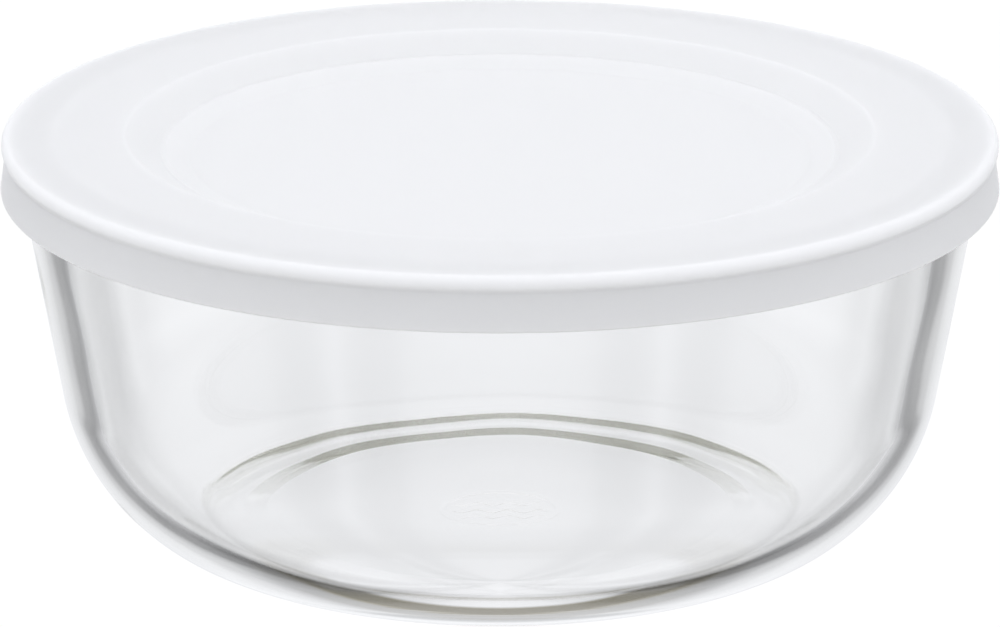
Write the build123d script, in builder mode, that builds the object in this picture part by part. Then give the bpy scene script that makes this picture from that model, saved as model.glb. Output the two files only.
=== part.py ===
from build123d import *
import os

# Round glass food container with a press-on plastic lid, in millimetres.
# +Z is up. The origin is on the table, under the middle of the bowl.

# Overall
overall_height = 68.6
lid_radius = 83.0

# Glass bowl, outside
foot_radius = 51.5
foot_curve_radius = 5.5
heel_start = 16.0
heel_radius = 23.6
heel_end = 40.0
shoulder_radius = 33.6
wall_angle = 79.94
rim_height = 67.2
rim_radius = 80.7
rim_band = 3.6
rim_band_slope = 0.7

# Glass bowl, inside: a flat floor with a soft crease and a slow rise round it, then two arcs up
# to the wall. The turns are slopes, in degrees, that each arc ends with.
floor_height = 3.4
floor_radius = 44.92
crease_radius = 12.0
crease_turn = 5.0
floor_rise_radius = 65.0
floor_rise_turn = 7.5
inner_heel_radius = 16.8
inner_heel_turn = 32.0
inner_shoulder_radius = 27.4

# Recess under the bowl, inside its foot ring
foot_width = 7.9
foot_slope = 4.0
punt_depth = 0.28

# Edge rounding on the glass
rim_round = 2.0
band_round = 0.5
foot_round = 1.0

# Lid
lid_wall = 1.2
skirt_height = 9.2
skirt_wall = 1.1
bead_radius = 1.39
bead_reach = 82.66
groove_radius = 82.05
groove_drop = 3.0
edge_round = 0.4

# Stepped stacking recess in the lid's top
recess_radius = 62.2
recess_round = 1.0
step_outer_radius = 56.4
step_inner_radius = 55.6
step_drop = 2.9
panel_radius = 51.5
panel_drop = 4.3
cove_sag = 0.45
panel_sag = 0.15

# Plug ring under the lid, just inside the bowl's rim
plug_radius = 74.6
plug_wall = 1.1
plug_length = 3.6
plug_round = 0.4

os.makedirs("parts", exist_ok=True)


# Glass bowl: one pressed piece, with a foot ring, a round heel, a tapered wall and a rim band
with BuildPart() as glass_bowl:
    with BuildSketch(Plane.XZ) as bowl_section:
        with BuildLine():
            foot_curve = JernArc((foot_radius, 0), (1, 0), foot_curve_radius, heel_start)
            heel = JernArc(foot_curve @ 1, foot_curve % 1, heel_radius, heel_end - heel_start)
            shoulder = JernArc(heel @ 1, heel % 1, shoulder_radius, wall_angle - heel_end)
            wall_rise = rim_height - rim_band - (shoulder @ 1).Y
            wall = PolarLine(shoulder @ 1, wall_rise, wall_angle, length_mode=LengthMode.VERTICAL)
            crease = JernArc((floor_radius, floor_height), (1, 0), crease_radius, crease_turn)
            floor_turn = floor_rise_turn - crease_turn
            floor_rise = JernArc(crease @ 1, crease % 1, floor_rise_radius, floor_turn)
            heel_turn = inner_heel_turn - floor_rise_turn
            inner_heel = JernArc(floor_rise @ 1, floor_rise % 1, inner_heel_radius, heel_turn)
            inner_turn = wall_angle - inner_heel_turn
            inner_shoulder = JernArc(inner_heel @ 1, inner_heel % 1, inner_shoulder_radius, inner_turn)
            inner_rise = rim_height - (inner_shoulder @ 1).Y
            inner_wall = PolarLine(
                inner_shoulder @ 1, inner_rise, wall_angle, length_mode=LengthMode.VERTICAL
            )
            Polyline(
                wall @ 1,
                (rim_radius, rim_height - rim_band + rim_band_slope),
                (rim_radius, rim_height),
                inner_wall @ 1,
            )
            Polyline(
                crease @ 0,
                (0, floor_height),
                (0, punt_depth),
                (foot_radius - foot_width - foot_slope, punt_depth),
                (foot_radius - foot_width, 0),
                foot_curve @ 0,
            )
        make_face()
        rim_corners = bowl_section.vertices().group_by(Axis.Y)[-1]
        fillet(rim_corners, rim_round)
        band_corner = bowl_section.vertices().sort_by_distance(
            (rim_radius, rim_height - rim_band + rim_band_slope)
        )[0]
        fillet(band_corner, band_round)
        foot_corner = bowl_section.vertices().sort_by_distance((foot_radius - foot_width, 0))[0]
        fillet(foot_corner, foot_round)
    revolve(axis=Axis.Z)
glass_bowl.part.label = "glass_bowl"
export_step(glass_bowl.part, "parts/glass_bowl.step")


def recess_outline(drop):
    """Draw one face of the lid's stepped recess, from the axis out, lowered by drop."""
    top = overall_height - drop
    panel = Line((0, top - panel_drop), (panel_radius, top - panel_drop))
    inner_cove = SagittaArc(panel @ 1, (step_inner_radius, top - step_drop), -panel_sag)
    step = Line(inner_cove @ 1, (step_outer_radius, top - step_drop))
    outer_cove = SagittaArc(step @ 1, (recess_radius, top), -cove_sag)
    return panel, outer_cove


# Lid: one moulded piece, with a stepped recess, a rounded edge bead, a flared skirt and a plug ring
with BuildPart() as lid:
    with BuildSketch(Plane.XZ) as lid_section:
        with BuildLine():
            underside = overall_height - lid_wall
            bead_centre = (bead_reach - bead_radius, overall_height - bead_radius)
            groove_height = overall_height - groove_drop
            skirt_bottom = overall_height - skirt_height
            top_panel, top_cove = recess_outline(0)
            low_panel, low_cove = recess_outline(lid_wall)
            annulus = Line(top_cove @ 1, (bead_centre[0], overall_height))
            bead = JernArc(annulus @ 1, (1, 0), bead_radius, -140)
            Polyline(
                bead @ 1,
                (groove_radius, groove_height),
                (lid_radius, skirt_bottom),
                (lid_radius - skirt_wall, skirt_bottom),
                (groove_radius - skirt_wall, groove_height),
                (groove_radius - skirt_wall, underside),
                (plug_radius, underside),
                (plug_radius, underside - plug_length),
                (plug_radius - plug_wall, underside - plug_length),
                (plug_radius - plug_wall, underside),
                low_cove @ 1,
            )
            Line(low_panel @ 0, top_panel @ 0)
        make_face()
        recess_corner = lid_section.vertices().sort_by_distance((recess_radius, overall_height))[0]
        fillet(recess_corner, recess_round)
        skirt_corners = lid_section.vertices().group_by(Axis.Y)[0]
        fillet(skirt_corners, edge_round)
        plug_corners = [
            lid_section.vertices().sort_by_distance((radius, underside - plug_length))[0]
            for radius in (plug_radius, plug_radius - plug_wall)
        ]
        fillet(plug_corners, plug_round)
    revolve(axis=Axis.Z)
lid.part.label = "lid"
export_step(lid.part, "parts/lid.step")
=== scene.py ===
import math

import bpy
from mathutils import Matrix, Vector, noise


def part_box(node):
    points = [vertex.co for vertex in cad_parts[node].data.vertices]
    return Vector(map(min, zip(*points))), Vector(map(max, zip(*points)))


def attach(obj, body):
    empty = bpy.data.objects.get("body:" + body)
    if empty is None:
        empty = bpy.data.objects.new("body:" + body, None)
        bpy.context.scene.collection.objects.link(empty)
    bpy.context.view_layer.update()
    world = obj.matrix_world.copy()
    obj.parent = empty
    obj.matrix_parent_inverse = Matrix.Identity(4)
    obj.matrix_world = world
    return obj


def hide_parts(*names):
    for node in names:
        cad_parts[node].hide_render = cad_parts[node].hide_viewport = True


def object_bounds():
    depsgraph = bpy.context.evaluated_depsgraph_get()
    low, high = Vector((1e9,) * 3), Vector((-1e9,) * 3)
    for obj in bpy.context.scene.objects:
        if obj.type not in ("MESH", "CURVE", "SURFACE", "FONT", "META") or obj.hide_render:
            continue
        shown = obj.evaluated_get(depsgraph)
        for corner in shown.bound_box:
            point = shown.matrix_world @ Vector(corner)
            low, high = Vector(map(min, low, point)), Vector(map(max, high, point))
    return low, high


# Looks for a round glass storage container with a press-on plastic lid, in metres.
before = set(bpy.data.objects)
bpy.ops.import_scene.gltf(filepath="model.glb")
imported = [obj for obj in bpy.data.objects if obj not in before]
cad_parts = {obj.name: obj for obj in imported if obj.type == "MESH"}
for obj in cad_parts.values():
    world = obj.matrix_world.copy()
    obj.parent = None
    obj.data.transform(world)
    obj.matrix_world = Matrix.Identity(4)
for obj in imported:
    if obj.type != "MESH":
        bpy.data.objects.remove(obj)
cad_low, cad_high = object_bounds()

MM = 0.001

# What the CAD model says
lid_low, lid_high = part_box("lid")
bowl_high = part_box("glass_bowl")[1]
LID_TOP = lid_high.z
SKIRT_BOTTOM = lid_low.z
LID_RADIUS = lid_high.x
RIM_TOP = bowl_high.z
RIM_RADIUS = bowl_high.x
HEIGHT = cad_high.z - cad_low.z

# Glass bowl, outside. The starts, ends, turns and angles are slopes in degrees.
FOOT_RADIUS = 51.5 * MM
FOOT_CURVE_RADIUS = 5.5 * MM
HEEL_START = 16.0
HEEL_RADIUS = 23.6 * MM
HEEL_END = 40.0
SHOULDER_RADIUS = 33.6 * MM
WALL_ANGLE = 79.94
RIM_BAND = 3.6 * MM
RIM_BAND_SLOPE = 0.7 * MM
RIM_ROUND = 2.0 * MM
BAND_ROOT_ROUND = 0.8 * MM
BAND_ROUND = 0.5 * MM

# Glass bowl, inside and underneath
FLOOR_HEIGHT = 3.4 * MM
FLOOR_RADIUS = 44.92 * MM
CREASE_RADIUS = 12.0 * MM
CREASE_TURN = 5.0
FLOOR_RISE_RADIUS = 65.0 * MM
FLOOR_RISE_TURN = 7.5
INNER_HEEL_RADIUS = 16.8 * MM
INNER_HEEL_TURN = 32.0
INNER_SHOULDER_RADIUS = 27.4 * MM
FOOT_WIDTH = 7.9 * MM
FOOT_SLOPE = 4.0 * MM
FOOT_ROUND = 1.0 * MM
PUNT_DEPTH = 0.28 * MM

# Lid
LID_WALL = 1.2 * MM
SKIRT_WALL = 1.1 * MM
SKIRT_ROOT_ROUND = 0.6 * MM
EDGE_ROUND = 0.4 * MM
BEAD_RADIUS = 1.39 * MM
BEAD_REACH = 82.66 * MM
BEAD_TURN = 140.0
GROOVE_RADIUS = 82.05 * MM
GROOVE_DROP = 3.0 * MM
GROOVE_ROUND = 0.3 * MM
GROOVE_INNER_ROUND = 0.5 * MM
GROOVE_RISE = 0.4 * MM
GROOVE_FLARE = 0.05 * MM
RECESS_RADIUS = 62.2 * MM
RECESS_ROUND = 1.5 * MM
STEP_OUTER_RADIUS = 56.4 * MM
STEP_OUTER_ROUND = 0.5 * MM
STEP_INNER_RADIUS = 55.6 * MM
STEP_INNER_ROUND = 0.4 * MM
STEP_DROP = 2.9 * MM
PANEL_RADIUS = 51.5 * MM
PANEL_ROUND = 2.5 * MM
PANEL_DROP = 4.3 * MM
PLUG_RADIUS = 74.6 * MM
PLUG_WALL = 1.1 * MM
PLUG_LENGTH = 3.6 * MM
PLUG_ROOT_ROUND = 0.3 * MM

# Generic mark under the base: a ring round three waved lines
MARK_RADIUS = 9.6 * MM
MARK_REACH = 10.4 * MM
MARK_MARGIN = 1.6 * MM
MARK_STROKE = 0.8 * MM
MARK_SOFT = 0.35 * MM
MARK_RELIEF = 0.018 * MM
WAVE_HEIGHT = 0.8 * MM
WAVE_PITCH = 5.2 * MM
WAVE_SPACING = 3.6 * MM

# Ripple inside the glass, which fades out towards the rim, and streaks on the foot. FACES_DOWN and
# FACES_IN are the parts of a normal that point up and inward.
FACES_DOWN = -0.5
FACES_IN = 0.3
RIPPLE_DEPTH = 0.05 * MM
RIPPLE_LENGTH = 16.0 * MM
RIPPLE_END = 6.0 * MM
RIPPLE_FULL = 20.0 * MM
STREAK_DEPTH = 0.008 * MM
STREAK_LENGTH = 9.0 * MM
STREAK_WIDTH = 0.8 * MM
STREAK_FADE = 2.0 * MM
FOOT_FINE_START = 39.0 * MM
FOOT_FINE_END = 56.0 * MM

# Materials
GLASS_IOR = 1.474
GLASS_TINT = (0.75, 0.76, 0.45, 1)
GLASS_DENSITY = 4.0
GLASS_RIPPLE = 0.004 * MM
GLASS_RIPPLE_SIZE = 9.0 * MM
LID_IOR = 1.5
LID_WHITES = ((0.955, 0.96, 0.955, 1), (0.965, 0.97, 0.965, 1))
LID_ROUGHNESS = (0.36, 0.46)
LID_GLOSS_SIZE = 6.0 * MM
LID_SAG = 0.02 * MM
LID_SAG_SIZE = 28.0 * MM
LID_GRAIN = 0.004 * MM
LID_GRAIN_SIZE = 0.9 * MM
LID_TRANSLUCENCE = 0.9
LID_SCATTER = 4.5 * MM
SOFT_DETAIL = 1.0
FINE_DETAIL = 2.0

# Mesh density. ARC_STEP is in degrees.
SEGMENTS = 288
SPACING = 1.2 * MM
MARK_SPACING = 0.2 * MM
FOOT_SPACING = 0.3 * MM
ARC_STEP = 3.0
TINY = 1e-6

# Studio light, as (degrees, level) stops. SIDE_LIGHT runs out from a panel's middle, ABOVE_LIGHT up
# from the horizon, and BELOW_LIGHT and SOFT_LIGHT up from straight down.
LEVEL_SPAN = 4.0
SIDE_LIGHT = [
    (0, 1.0), (10, 0.98), (16, 0.94), (22, 0.87), (26, 0.72),
    (29, 0.45), (36, 0.34), (41, 0.60), (45, 0.95),
]
BELOW_LIGHT = [
    (0, 0.92), (26, 0.92), (28.5, 0.26), (34.5, 0.26), (37, 0.62), (43, 0.72), (48, 0.98),
    (58, 1.0), (62, 0.9), (68, 0.88), (72, 0.92), (76, 0.98), (90, 0.98),
]
ABOVE_LIGHT = [(0, 1.05), (5, 1.0), (9, 0.6), (15, 0.6), (20, 0.85), (40, 0.9), (90, 1.3)]
SOFT_LIGHT = [(0, 0.95), (70, 0.94), (90, 0.92), (120, 1.04), (180, 1.58)]

# Elevations over which BELOW_LIGHT gives way to ABOVE_LIGHT, over which the upright cards end at
# their top, and below which they darken by DEEP_POWER
HORIZON_SPAN = (-14, -7)
CARD_TOP = (4, 14)
DEEP_SPAN = (-40, -28)
DEEP_POWER = 1.5

# Colour of the low dark card and of all the rest, and the BELOW_LIGHT levels over which it changes
CARD_TINT = (1.06, 1.0, 0.82)
STUDIO_TINT = (0.975, 0.985, 1.02)
CARD_DARK = (0.3, 0.7)

# Floor: the brightness that the camera sees on it and beyond it, and how far it goes each way
FLOOR_WHITE = 1.02
FLOOR_REACH = 3.0

# Camera: in front of the object, looking down by CAMERA_ELEVATION degrees at a share of the height
CAMERA_DISTANCE = 1.245
CAMERA_ELEVATION = 17.64
CAMERA_AIM = 0.531
CAMERA_CLIP = (0.05, 20)
LENS = 268.0
BOUNCES = 40


# ---------------------------------------------------------------- outlines and lathed pieces

def forward(point, heading, length):
    """The point that lies a length away in a heading, in degrees from the outward direction."""
    angle = math.radians(heading)
    return (point[0] + length * math.cos(angle), point[1] + length * math.sin(angle))


def arc(start, heading, radius, turn):
    """Points round an arc that leaves start in a heading and turns left by some degrees."""
    side = 90 if turn > 0 else -90
    centre = forward(start, heading + side, radius)
    length = math.radians(abs(turn)) * radius
    steps = max(2, math.ceil(abs(turn) / ARC_STEP), math.ceil(length / SPACING))
    return [forward(centre, heading - side + turn * i / steps, radius) for i in range(steps + 1)]


def rounded(corners):
    """Points along straight runs between (radius, height, rounding) corners, rounded by arcs."""
    points = [corners[0][:2]]
    for before, corner, after in zip(corners, corners[1:], corners[2:]):
        heading_in = math.degrees(math.atan2(corner[1] - before[1], corner[0] - before[0]))
        heading_out = math.degrees(math.atan2(after[1] - corner[1], after[0] - corner[0]))
        turn = (heading_out - heading_in + 180) % 360 - 180
        if corner[2] == 0 or abs(turn) < 1:
            points.append(corner[:2])
            continue
        setback = corner[2] * math.tan(math.radians(abs(turn)) / 2)
        points.extend(arc(forward(corner, heading_in, -setback), heading_in, corner[2], turn))
    points.append(corners[-1][:2])
    return points


def spaced(points, spacing):
    """The same outline with its runs divided, so that none is longer than spacing(its middle)."""
    result = [points[0]]
    for a, b in zip(points, points[1:]):
        length = math.dist(a, b)
        if length < TINY:
            continue
        count = math.ceil(length / spacing((a[0] + b[0]) / 2, (a[1] + b[1]) / 2))
        result.extend((a[0] + (b[0] - a[0]) * i / count, a[1] + (b[1] - a[1]) * i / count)
                      for i in range(1, count + 1))
    return result


def lathe(name, outline, relief):
    """A closed smooth mesh: an outline spun about Z, from the axis round and back to it with the
    solid on its left. relief(place, normal) is how far the surface moves out along its normal."""
    verts, rings = [], []
    for i, (radius, height) in enumerate(outline):
        before, after = outline[max(i - 1, 0)], outline[min(i + 1, len(outline) - 1)]
        run = math.dist(before, after)
        out, up = (after[1] - before[1]) / run, (before[0] - after[0]) / run
        count = 1 if radius < TINY else SEGMENTS
        rings.append(range(len(verts), len(verts) + count))
        for k in range(count):
            angle = 2 * math.pi * k / SEGMENTS
            place = Vector((radius * math.cos(angle), radius * math.sin(angle), height))
            normal = Vector((out * math.cos(angle), out * math.sin(angle), up))
            verts.append(place + normal * relief(place, normal))
    faces = []
    for ring, following in zip(rings, rings[1:]):
        for k in range(SEGMENTS):
            a, b = ring[k % len(ring)], ring[(k + 1) % len(ring)]
            c, d = following[(k + 1) % len(following)], following[k % len(following)]
            faces.append([v for i, v in enumerate((a, b, c, d)) if v not in (a, b, c, d)[:i]])
    mesh = bpy.data.meshes.new(name)
    mesh.from_pydata([v[:] for v in verts], [], faces)
    mesh.validate()
    mesh.shade_smooth()
    piece = bpy.data.objects.new(name, mesh)
    bpy.context.scene.collection.objects.link(piece)
    return piece


def ease(value, start, end):
    """0 at start and 1 at end, with a smooth change between."""
    t = min(1, max(0, (value - start) / (end - start)))
    return t * t * (3 - 2 * t)


# ---------------------------------------------------------------- the glass bowl

def bowl_outline():
    """The bowl's section: from the axis out along the underside, up the outside, over the rim,
    down the inside and back to the axis."""
    foot_inner = FOOT_RADIUS - FOOT_WIDTH
    under = rounded([
        (0, PUNT_DEPTH, 0),
        (MARK_REACH, PUNT_DEPTH, 0),
        (FOOT_FINE_START, PUNT_DEPTH, 0),
        (foot_inner - FOOT_SLOPE, PUNT_DEPTH, FOOT_ROUND),
        (foot_inner, 0, FOOT_ROUND),
        (FOOT_RADIUS, 0, 0),
    ])
    foot_curve = arc((FOOT_RADIUS, 0), 0, FOOT_CURVE_RADIUS, HEEL_START)
    heel = arc(foot_curve[-1], HEEL_START, HEEL_RADIUS, HEEL_END - HEEL_START)
    shoulder = arc(heel[-1], HEEL_END, SHOULDER_RADIUS, WALL_ANGLE - HEEL_END)
    outside = foot_curve + heel[1:] + shoulder[1:]

    crease = arc((FLOOR_RADIUS, FLOOR_HEIGHT), 0, CREASE_RADIUS, CREASE_TURN)
    rise = arc(crease[-1], CREASE_TURN, FLOOR_RISE_RADIUS, FLOOR_RISE_TURN - CREASE_TURN)
    heel_turn = INNER_HEEL_TURN - FLOOR_RISE_TURN
    inner_heel = arc(rise[-1], FLOOR_RISE_TURN, INNER_HEEL_RADIUS, heel_turn)
    inner_turn = WALL_ANGLE - INNER_HEEL_TURN
    inner_shoulder = arc(inner_heel[-1], INNER_HEEL_TURN, INNER_SHOULDER_RADIUS, inner_turn)
    inside = inner_shoulder[::-1] + inner_heel[-2::-1] + rise[-2::-1] + crease[-2::-1]
    inside.append((0, FLOOR_HEIGHT))

    band_bottom = RIM_TOP - RIM_BAND
    wall_rise = band_bottom - shoulder[-1][1]
    inner_rise = RIM_TOP - inner_shoulder[-1][1]
    wall_lean = math.sin(math.radians(WALL_ANGLE))
    wall_end = forward(shoulder[-1], WALL_ANGLE, wall_rise / wall_lean)
    lip = forward(inner_shoulder[-1], WALL_ANGLE, inner_rise / wall_lean)
    rim = rounded([
        (*shoulder[-1], 0),
        (*wall_end, BAND_ROOT_ROUND),
        (RIM_RADIUS, band_bottom + RIM_BAND_SLOPE, BAND_ROUND),
        (RIM_RADIUS, RIM_TOP, RIM_ROUND),
        (*lip, RIM_ROUND),
        (*inner_shoulder[-1], 0),
    ])
    return spaced(under[:-1] + outside + rim[1:] + inside[1:], glass_spacing)


def glass_spacing(radius, height):
    """Close rings under the base's mark and the foot, which have fine relief."""
    if height < FLOOR_HEIGHT / 2 and radius < MARK_REACH:
        return MARK_SPACING
    if height < FLOOR_HEIGHT / 2 and FOOT_FINE_START < radius < FOOT_FINE_END:
        return FOOT_SPACING
    return SPACING


def mark_level(x, y):
    """How far the mark stands out at a place under the base, from 0 to 1."""
    radius = math.hypot(x, y)
    gap = abs(radius - MARK_RADIUS)
    if radius < MARK_RADIUS - MARK_MARGIN:
        wave = WAVE_HEIGHT * math.sin(2 * math.pi * x / WAVE_PITCH)
        gap = min(abs(y - wave - row * WAVE_SPACING) for row in (-1, 0, 1))
    return 1 - ease(gap, MARK_STROKE / 2 - MARK_SOFT, MARK_STROKE / 2 + MARK_SOFT)


def glass_relief(place, normal):
    """The mark under the base, the pressed-glass ripple of the inside, and the streaked foot."""
    radius = math.hypot(place.x, place.y)
    if normal.z < FACES_DOWN and radius < MARK_REACH:
        return MARK_RELIEF * mark_level(place.x, place.y)
    if normal.z < FACES_DOWN and FOOT_FINE_START < radius < FOOT_FINE_END:
        angle = math.atan2(place.y, place.x)
        along = Vector((math.cos(angle), math.sin(angle), 0)) * FOOT_RADIUS / STREAK_LENGTH
        along.z = radius / STREAK_WIDTH
        near_foot = ease(radius, FOOT_FINE_START, FOOT_FINE_START + STREAK_FADE)
        near_foot *= ease(radius, FOOT_FINE_END, FOOT_FINE_END - STREAK_FADE)
        return -STREAK_DEPTH * near_foot * (0.5 + 0.5 * noise.noise(along))
    inward = -(normal.x * place.x + normal.y * place.y) / max(radius, TINY)
    if place.z > FLOOR_HEIGHT / 2 and max(inward, normal.z) > FACES_IN:
        fade = ease(place.z, RIM_TOP - RIPPLE_END, RIM_TOP - RIPPLE_FULL)
        return RIPPLE_DEPTH * fade * noise.noise(place / RIPPLE_LENGTH)
    return 0


def make_bowl():
    return lathe("glass_bowl_clear", bowl_outline(), glass_relief)


# ---------------------------------------------------------------- the lid

def recess(drop):
    """The corners of a face of the lid's recess, from the axis to its edge, lowered by drop."""
    top = LID_TOP - drop
    return [
        (0, top - PANEL_DROP, 0),
        (PANEL_RADIUS, top - PANEL_DROP, PANEL_ROUND),
        (STEP_INNER_RADIUS, top - STEP_DROP, STEP_INNER_ROUND),
        (STEP_OUTER_RADIUS, top - STEP_DROP, STEP_OUTER_ROUND),
        (RECESS_RADIUS, top, RECESS_ROUND),
    ]


def lid_outline():
    """The lid's section: from the axis out along its underside, down and up the plug ring, down
    the skirt's inside, up the skirt, over the edge bead and back along the top to the axis."""
    underside = LID_TOP - LID_WALL
    groove = LID_TOP - GROOVE_DROP
    bead_start = BEAD_REACH - BEAD_RADIUS
    below = rounded(recess(LID_WALL) + [
        (PLUG_RADIUS - PLUG_WALL, underside, PLUG_ROOT_ROUND),
        (PLUG_RADIUS - PLUG_WALL, underside - PLUG_LENGTH, EDGE_ROUND),
        (PLUG_RADIUS, underside - PLUG_LENGTH, EDGE_ROUND),
        (PLUG_RADIUS, underside, PLUG_ROOT_ROUND),
        (GROOVE_RADIUS - SKIRT_WALL, underside, SKIRT_ROOT_ROUND),
        (GROOVE_RADIUS - SKIRT_WALL, groove, GROOVE_INNER_ROUND),
        (LID_RADIUS - SKIRT_WALL, SKIRT_BOTTOM, EDGE_ROUND),
        (LID_RADIUS, SKIRT_BOTTOM, EDGE_ROUND),
        (GROOVE_RADIUS, groove, GROOVE_ROUND),
        (GROOVE_RADIUS + GROOVE_FLARE, groove + GROOVE_RISE, 0),
    ])
    bead = arc((bead_start, LID_TOP), 0, BEAD_RADIUS, -BEAD_TURN)[::-1]
    above = rounded([(bead_start, LID_TOP, 0)] + recess(0)[::-1])
    return spaced(below[:-1] + bead + above[1:], lambda radius, height: SPACING)


def make_lid():
    return lathe("lid_moulded", lid_outline(), lambda place, normal: 0)


# ---------------------------------------------------------------- materials

def feed(links, socket, value):
    """Give an input a constant, or the output of another node."""
    if isinstance(value, (int, float, tuple)):
        socket.default_value = value
    else:
        links.new(value, socket)


def colour_sockets(sockets):
    return [socket for socket in sockets if socket.type == "RGBA"]


def new_material(name):
    material = bpy.data.materials.new(name)
    material.use_nodes = True
    nodes = material.node_tree.nodes
    return material, nodes, material.node_tree.links, nodes["Principled BSDF"]


def grain(nodes, links, size, detail=FINE_DETAIL):
    """Noise whose grains are about size across, in the piece's own coordinates."""
    place = nodes.new("ShaderNodeTexCoord")
    texture = nodes.new("ShaderNodeTexNoise")
    texture.inputs["Scale"].default_value = 1 / size
    texture.inputs["Detail"].default_value = detail
    links.new(place.outputs["Object"], texture.inputs["Vector"])
    return texture.outputs["Fac"]


def relief_bump(nodes, links, shader, height, depth, before=None):
    """A bump of the given depth from a 0 to 1 height, added to the one before it."""
    bump = nodes.new("ShaderNodeBump")
    bump.inputs["Distance"].default_value = depth
    links.new(height, bump.inputs["Height"])
    if before:
        links.new(before, bump.inputs["Normal"])
    links.new(bump.outputs["Normal"], shader.inputs["Normal"])
    return bump.outputs["Normal"]


def glass_material():
    material, nodes, links, shader = new_material("clear_pressed_glass")
    shader.inputs["Base Color"].default_value = (1, 1, 1, 1)
    shader.inputs["Roughness"].default_value = 0.0
    shader.inputs["IOR"].default_value = GLASS_IOR
    shader.inputs["Transmission Weight"].default_value = 1.0
    ripple = grain(nodes, links, GLASS_RIPPLE_SIZE, SOFT_DETAIL)
    relief_bump(nodes, links, shader, ripple, GLASS_RIPPLE)
    tint = nodes.new("ShaderNodeVolumeAbsorption")
    tint.inputs["Color"].default_value = GLASS_TINT
    tint.inputs["Density"].default_value = GLASS_DENSITY
    links.new(tint.outputs["Volume"], nodes["Material Output"].inputs["Volume"])
    return material


def lid_material():
    material, nodes, links, shader = new_material("white_moulded_plastic")
    clouds = grain(nodes, links, LID_SAG_SIZE)
    colour = nodes.new("ShaderNodeMix")
    colour.data_type = "RGBA"
    links.new(clouds, colour.inputs["Factor"])
    for socket, value in zip(colour_sockets(colour.inputs), LID_WHITES):
        socket.default_value = value
    links.new(colour_sockets(colour.outputs)[0], shader.inputs["Base Color"])
    gloss = nodes.new("ShaderNodeMapRange")
    links.new(grain(nodes, links, LID_GLOSS_SIZE), gloss.inputs["Value"])
    gloss.inputs["To Min"].default_value, gloss.inputs["To Max"].default_value = LID_ROUGHNESS
    links.new(gloss.outputs["Result"], shader.inputs["Roughness"])
    sag = relief_bump(nodes, links, shader, clouds, LID_SAG)
    relief_bump(nodes, links, shader, grain(nodes, links, LID_GRAIN_SIZE), LID_GRAIN, sag)
    shader.inputs["IOR"].default_value = LID_IOR
    shader.inputs["Subsurface Weight"].default_value = LID_TRANSLUCENCE
    shader.inputs["Subsurface Scale"].default_value = LID_SCATTER
    shader.inputs["Subsurface Radius"].default_value = (1, 1, 1)
    return material


# ---------------------------------------------------------------- stage, light and camera

def make_floor():
    """A pale floor that only the camera sees, so that the glass shows the studio light instead."""
    mesh = bpy.data.meshes.new("floor")
    signs = ((-1, -1), (1, -1), (1, 1), (-1, 1))
    corners = [(x * FLOOR_REACH, y * FLOOR_REACH, 0) for x, y in signs]
    mesh.from_pydata(corners, [], [(0, 1, 2, 3)])
    floor = bpy.data.objects.new("floor", mesh)
    bpy.context.scene.collection.objects.link(floor)
    material, nodes, links, shader = new_material("pale_floor")
    nodes.remove(shader)
    glow = nodes.new("ShaderNodeEmission")
    glow.inputs["Color"].default_value = (1, 1, 1, 1)
    glow.inputs["Strength"].default_value = FLOOR_WHITE
    links.new(glow.outputs["Emission"], nodes["Material Output"].inputs["Surface"])
    mesh.materials.append(material)
    floor.visible_transmission = False
    floor.visible_diffuse = False
    floor.visible_glossy = False


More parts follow.
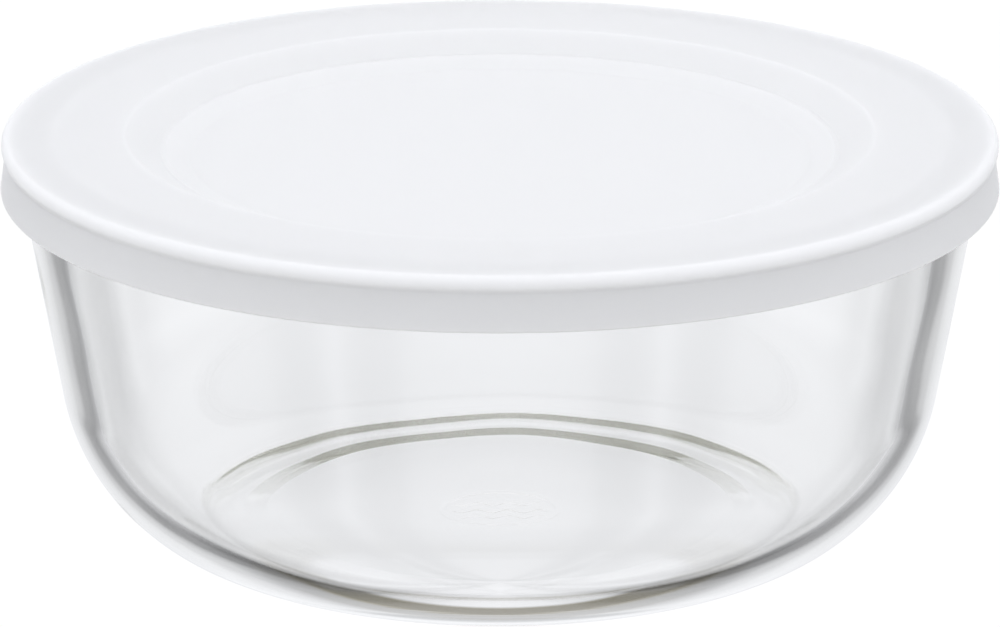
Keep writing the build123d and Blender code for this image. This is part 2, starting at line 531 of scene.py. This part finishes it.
def make_world():
    """Soft studio surroundings by direction, the same at each quarter turn and mirrored within it:
    a white panel, then a dark upright card that draws the glass's edges. Low down, a dark olive
    card goes all round and draws the foot. Above are a grey strip and a bright ceiling. Diffuse
    rays get a softer light, for the plastic, and the camera sees plain white behind it all."""
    world = bpy.data.worlds.new("studio")
    bpy.context.scene.world = world
    world.use_nodes = True
    nodes, links = world.node_tree.nodes, world.node_tree.links
    place = nodes.new("ShaderNodeTexCoord")
    axes = nodes.new("ShaderNodeSeparateXYZ")
    links.new(place.outputs["Generated"], axes.inputs["Vector"])
    ray = nodes.new("ShaderNodeLightPath")

    def calc(operation, *values):
        node = nodes.new("ShaderNodeMath")
        node.operation = operation
        for socket, value in zip(node.inputs, values):
            feed(links, socket, value)
        return node.outputs["Value"]

    def step(value, span, low=0.0, high=1.0):
        """A smooth change from low to high as value goes from the start of a span to its end."""
        node = nodes.new("ShaderNodeMapRange")
        node.interpolation_type = "SMOOTHSTEP"
        links.new(value, node.inputs["Value"])
        for name, number in zip(("From Min", "From Max", "To Min", "To Max"), (*span, low, high)):
            node.inputs[name].default_value = number
        return node.outputs["Result"]

    def mix(factor, a, b):
        """a where the factor is 0 and b where it is 1."""
        node = nodes.new("ShaderNodeMix")
        node.data_type = "FLOAT"
        for name, value in (("Factor", factor), ("A", a), ("B", b)):
            feed(links, node.inputs[name], value)
        return node.outputs["Result"]

    def blend(factor, a, b):
        """The same for colours."""
        node = nodes.new("ShaderNodeMix")
        node.data_type = "VECTOR"
        links.new(factor, node.inputs["Factor"])
        ends = [socket for socket in node.inputs if socket.type == "VECTOR" and socket.name in "AB"]
        for socket, value in zip(ends, (a, b)):
            feed(links, socket, value)
        return next(socket for socket in node.outputs if socket.type == "VECTOR")

    def ramp(value, span, stops):
        """A level that runs in straight lines between (place, level) stops, over 0 to span."""
        node = nodes.new("ShaderNodeValToRGB")
        links.new(calc("DIVIDE", value, span), node.inputs["Fac"])
        elements = node.color_ramp.elements
        elements[0].position, elements[1].position = stops[0][0] / span, stops[-1][0] / span
        for place, level in stops[1:-1]:
            elements.new(place / span)
        for element, (place, level) in zip(elements, stops):
            grey = level / LEVEL_SPAN
            element.color = (grey, grey, grey, 1)
        return calc("MULTIPLY", node.outputs["Color"], LEVEL_SPAN)

    elevation = calc("DEGREES", calc("ARCSINE", axes.outputs["Z"]))
    azimuth = calc("DEGREES", calc("ARCTAN2", axes.outputs["X"], axes.outputs["Y"]))
    upward = calc("ADD", elevation, 90)
    sides = ramp(calc("PINGPONG", azimuth, 45), 45, SIDE_LIGHT)
    below = ramp(upward, 90, BELOW_LIGHT)
    above = ramp(elevation, 90, ABOVE_LIGHT)
    deeper = calc("POWER", sides, step(elevation, DEEP_SPAN, DEEP_POWER, 1))
    cards = mix(step(elevation, CARD_TOP), deeper, 1.0)
    level = mix(step(elevation, HORIZON_SPAN), below, above)
    soft = ramp(upward, 180, SOFT_LIGHT)
    light = mix(ray.outputs["Is Diffuse Ray"], calc("MULTIPLY", cards, level), soft)
    tinted = nodes.new("ShaderNodeVectorMath")
    tinted.operation = "SCALE"
    links.new(blend(step(below, CARD_DARK), CARD_TINT, STUDIO_TINT), tinted.inputs[0])
    links.new(light, tinted.inputs["Scale"])
    shown = blend(ray.outputs["Is Camera Ray"], tinted.outputs["Vector"], (FLOOR_WHITE,) * 3)
    links.new(shown, nodes["Background"].inputs["Color"])


def make_camera():
    data = bpy.data.cameras.new("camera")
    camera = bpy.data.objects.new("camera", data)
    bpy.context.scene.collection.objects.link(camera)
    bpy.context.scene.camera = camera
    data.lens = LENS
    data.clip_start, data.clip_end = CAMERA_CLIP
    aim = Vector((0, 0, cad_low.z + CAMERA_AIM * HEIGHT))
    angle = math.radians(CAMERA_ELEVATION)
    back = Vector((0, -math.cos(angle), math.sin(angle)))
    camera.location = aim + back * CAMERA_DISTANCE
    camera.rotation_euler = (-back).to_track_quat("-Z", "Y").to_euler()


make_camera()
make_world()
make_floor()
scene = bpy.context.scene
scene.view_settings.view_transform = "Standard"
scene.cycles.max_bounces = BOUNCES
scene.cycles.transmission_bounces = BOUNCES
scene.cycles.glossy_bounces = BOUNCES

bowl = make_bowl()
bowl.data.materials.append(glass_material())
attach(bowl, "bowl")
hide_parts("glass_bowl")

lid = make_lid()
lid.data.materials.append(lid_material())
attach(lid, "lid")
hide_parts("lid")
